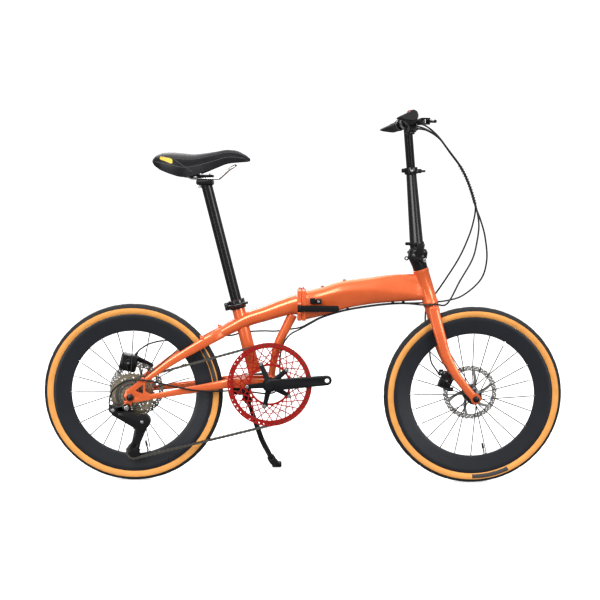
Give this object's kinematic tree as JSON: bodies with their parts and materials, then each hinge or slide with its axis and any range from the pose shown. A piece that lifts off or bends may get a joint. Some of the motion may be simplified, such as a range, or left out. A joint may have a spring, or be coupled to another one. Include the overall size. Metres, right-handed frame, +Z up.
{
  "type": "folding bicycle",
  "caption": "Folding bicycle with small wheels, hinged single-tube frame, telescopic folding handlepost, long seatpost, disc brakes, derailleur and kickstand.",
  "frame": {"origin": "on the ground, midway between the two axles, in the bicycle's middle plane", "axes": "+X towards the front wheel, +Y towards the rider's left, +Z up; the chain is on the -Y side"},
  "size_m": [1.511, 0.532, 1.078],
  "materials": {
    "rear_main_tube": "gloss",
    "seat_tube": "gloss",
    "brace_tube": "gloss",
    "bottom_bracket_shell": "gloss",
    "chainstays": "gloss",
    "seatstays": "gloss",
    "front_main_tube": "gloss",
    "head_tube": "gloss",
    "fork": "gloss",
    "front_hub": "satin black",
    "rear_hub": "satin black",
    "rear_axle": "satin black",
    "front_axle": "satin black",
    "seat_clamp": "satin black",
    "seat_clamp_lever": "satin black",
    "seatpost": "satin black",
    "hinge_catch": "satin black",
    "frame_latch_lever": "satin black",
    "handlepost_base": "satin black",
    "handlepost_lower": "satin black",
    "handlepost_latch_lever": "satin black",
    "telescope_clamp": "satin black",
    "telescope_lever": "satin black",
    "handlepost_upper": "satin black",
    "handlebar": "satin black",
    "brake_body_left": "satin black",
    "brake_body_right": "satin black",
    "brake_lever_left": "satin black",
    "brake_lever_right": "satin black",
    "crank_right": "satin black",
    "crank_left": "satin black",
    "rear_derailleur": "matte",
    "derailleur_cage": "matte",
    "rear_brake_caliper": "satin black",
    "front_brake_caliper": "satin black",
    "kickstand": "satin black",
    "kickstand_mount": "satin black",
    "shifter_body": "matte",
    "shifter_lever": "matte",
    "guide_pulley": "matte",
    "tension_pulley": "matte",
    "rear_brake_hose": "matte",
    "front_brake_hose": "matte",
    "shift_cable": "matte",
    "grip_left": "matte",
    "grip_right": "matte",
    "front_rotor": "bright",
    "rear_rotor": "bright",
    "frame_hinge_pin": "bright",
    "saddle_rails": "bright",
    "cassette": "bright",
    "chain": "bright",
    "front_tyre": "black tread, tan sidewall",
    "rear_tyre": "black tread, tan sidewall",
    "front_rim": "dark satin",
    "rear_rim": "dark satin",
    "chainring": "red anodised",
    "bell": "dark red",
    "saddle": "synthetic cover, satin"
  },
  "bodies": {
    "rear_frame": {"rear_main_tube": "rear_main_tube", "seat_tube": "seat_tube", "brace_tube": "brace_tube", "bottom_bracket_shell": "bottom_bracket_shell", "chainstays": "chainstays", "seatstays": "seatstays", "seat_clamp": "seat_clamp", "frame_hinge_pin": "frame_hinge_pin", "rear_brake_caliper": "rear_brake_caliper", "rear_derailleur": "rear_derailleur", "derailleur_cage": "derailleur_cage", "chain": "chain", "kickstand_mount": "kickstand_mount", "rear_axle": "rear_axle", "rear_brake_hose": "rear_brake_hose", "shift_cable": "shift_cable"},
    "front_frame": {"front_main_tube": "front_main_tube", "head_tube": "head_tube", "hinge_catch": "hinge_catch"},
    "frame_latch": {"frame_latch_lever": "frame_latch_lever"},
    "fork": {"fork": "fork", "front_brake_caliper": "front_brake_caliper", "front_axle": "front_axle", "handlepost_base": "handlepost_base", "front_brake_hose": "front_brake_hose"},
    "front_wheel": {"front_tyre": "front_tyre", "front_rim": "front_rim", "front_hub": "front_hub", "front_rotor": "front_rotor"},
    "rear_wheel": {"rear_tyre": "rear_tyre", "rear_rim": "rear_rim", "rear_hub": "rear_hub", "rear_rotor": "rear_rotor"},
    "cranks": {"chainring": "chainring", "crank_right": "crank_right", "crank_left": "crank_left"},
    "cassette": {"cassette": "cassette"},
    "guide_pulley": {"guide_pulley": "guide_pulley"},
    "tension_pulley": {"tension_pulley": "tension_pulley"},
    "handlepost_lower": {"handlepost_lower": "handlepost_lower", "telescope_clamp": "telescope_clamp"},
    "handlepost_latch": {"handlepost_latch_lever": "handlepost_latch_lever"},
    "telescope_lever": {"telescope_lever": "telescope_lever"},
    "handlepost_upper": {"handlepost_upper": "handlepost_upper", "handlebar": "handlebar", "grip_left": "grip_left", "grip_right": "grip_right", "brake_body_left": "brake_body_left", "brake_body_right": "brake_body_right", "shifter_body": "shifter_body", "bell": "bell"},
    "brake_lever_left": {"brake_lever_left": "brake_lever_left"},
    "brake_lever_right": {"brake_lever_right": "brake_lever_right"},
    "shifter_lever": {"shifter_lever": "shifter_lever"},
    "seatpost": {"seatpost": "seatpost", "saddle_rails": "saddle_rails", "saddle": "saddle"},
    "seat_clamp_lever": {"seat_clamp_lever": "seat_clamp_lever"},
    "kickstand": {"kickstand": "kickstand"}
  },
  "joints": [
    {"name": "frame_fold", "type": "hinge", "parent": "rear_frame", "child": "front_frame", "pos_m": [-0.008, 0.0405, 0.523], "axis": [0, 0, 1], "range_deg": [0, 165], "deforming": ["rear_brake_hose", "shift_cable"]},
    {"name": "frame_latch", "type": "hinge", "parent": "rear_frame", "child": "frame_latch", "pos_m": [-0.014, -0.04, 0.5155], "axis": [0, 0, -1], "range_deg": [0, 110]},
    {"name": "steering", "type": "hinge", "parent": "front_frame", "child": "fork", "pos_m": [0.3665, 0, 0.529], "axis": [-0.3007, 0, 0.9537], "range_deg": [-45, 45]},
    {"name": "front_wheel_spin", "type": "hinge", "parent": "fork", "child": "front_wheel", "pos_m": [0.495, 0, 0.2605], "axis": [0, 1, 0], "continuous": true},
    {"name": "rear_wheel_spin", "type": "hinge", "parent": "rear_frame", "child": "rear_wheel", "pos_m": [-0.495, 0, 0.2605], "axis": [0, 1, 0], "continuous": true},
    {"name": "crank_spin", "type": "hinge", "parent": "rear_frame", "child": "cranks", "pos_m": [-0.098, 0, 0.296], "axis": [0, 1, 0], "continuous": true},
    {"name": "cassette_spin", "type": "hinge", "parent": "rear_frame", "child": "cassette", "pos_m": [-0.495, 0, 0.2605], "axis": [0, 1, 0], "continuous": true},
    {"name": "guide_pulley_spin", "type": "hinge", "parent": "rear_frame", "child": "guide_pulley", "pos_m": [-0.474, -0.045, 0.174], "axis": [0, 1, 0], "continuous": true},
    {"name": "tension_pulley_spin", "type": "hinge", "parent": "rear_frame", "child": "tension_pulley", "pos_m": [-0.49, -0.045, 0.0955], "axis": [0, 1, 0], "continuous": true},
    {"name": "handlepost_fold", "type": "hinge", "parent": "fork", "child": "handlepost_lower", "pos_m": [0.326, 0.0325, 0.6722], "axis": [0.989, 0, -0.1478], "range_deg": [-170, 0], "deforming": ["front_brake_hose"]},
    {"name": "handlepost_latch", "type": "hinge", "parent": "fork", "child": "handlepost_latch", "pos_m": [0.32408, -0.029, 0.65934], "axis": [0.989, 0, -0.1478], "range_deg": [0, 100]},
    {"name": "telescope_lever", "type": "hinge", "parent": "handlepost_lower", "child": "telescope_lever", "pos_m": [0.325, 0, 0.91], "axis": [0, -1, 0], "range_deg": [0, 80]},
    {"name": "handlepost_slide", "type": "slide", "parent": "handlepost_lower", "child": "handlepost_upper", "axis": [-0.097, 0, 0.9953], "range_m": [-0.1, 0.05]},
    {"name": "brake_lever_left", "type": "hinge", "parent": "handlepost_upper", "child": "brake_lever_left", "pos_m": [0.3283, 0.131, 1.042], "axis": [0, 0, 1], "range_deg": [0, 20], "stiffness_Nm_per_rad": 0.2},
    {"name": "brake_lever_right", "type": "hinge", "parent": "handlepost_upper", "child": "brake_lever_right", "pos_m": [0.3283, -0.131, 1.042], "axis": [0, 0, -1], "range_deg": [0, 20], "stiffness_Nm_per_rad": 0.2},
    {"name": "shifter_lever", "type": "hinge", "parent": "handlepost_upper", "child": "shifter_lever", "pos_m": [0.2899, -0.089, 1.011], "axis": [0, 0, -1], "range_deg": [0, 35], "stiffness_Nm_per_rad": 0.05},
    {"name": "seatpost_slide", "type": "slide", "parent": "rear_frame", "child": "seatpost", "axis": [-0.2504, 0, 0.9681], "range_m": [-0.25, 0.08]},
    {"name": "seat_clamp_lever", "type": "hinge", "parent": "rear_frame", "child": "seat_clamp_lever", "pos_m": [-0.22462, -0.0135, 0.51488], "axis": [0.2504, 0, -0.9681], "range_deg": [0, 110]},
    {"name": "kickstand_fold", "type": "hinge", "parent": "rear_frame", "child": "kickstand", "pos_m": [-0.166, 0.0455, 0.235], "axis": [-0.141, 0.99, 0], "range_deg": [0, 80]}
  ],
  "couplings": [
    {"joint": "cassette_spin", "follows": "crank_spin", "ratio": 2.7619},
    {"joint": "guide_pulley_spin", "follows": "crank_spin", "ratio": -5.2727},
    {"joint": "tension_pulley_spin", "follows": "crank_spin", "ratio": 5.2727}
  ]
}
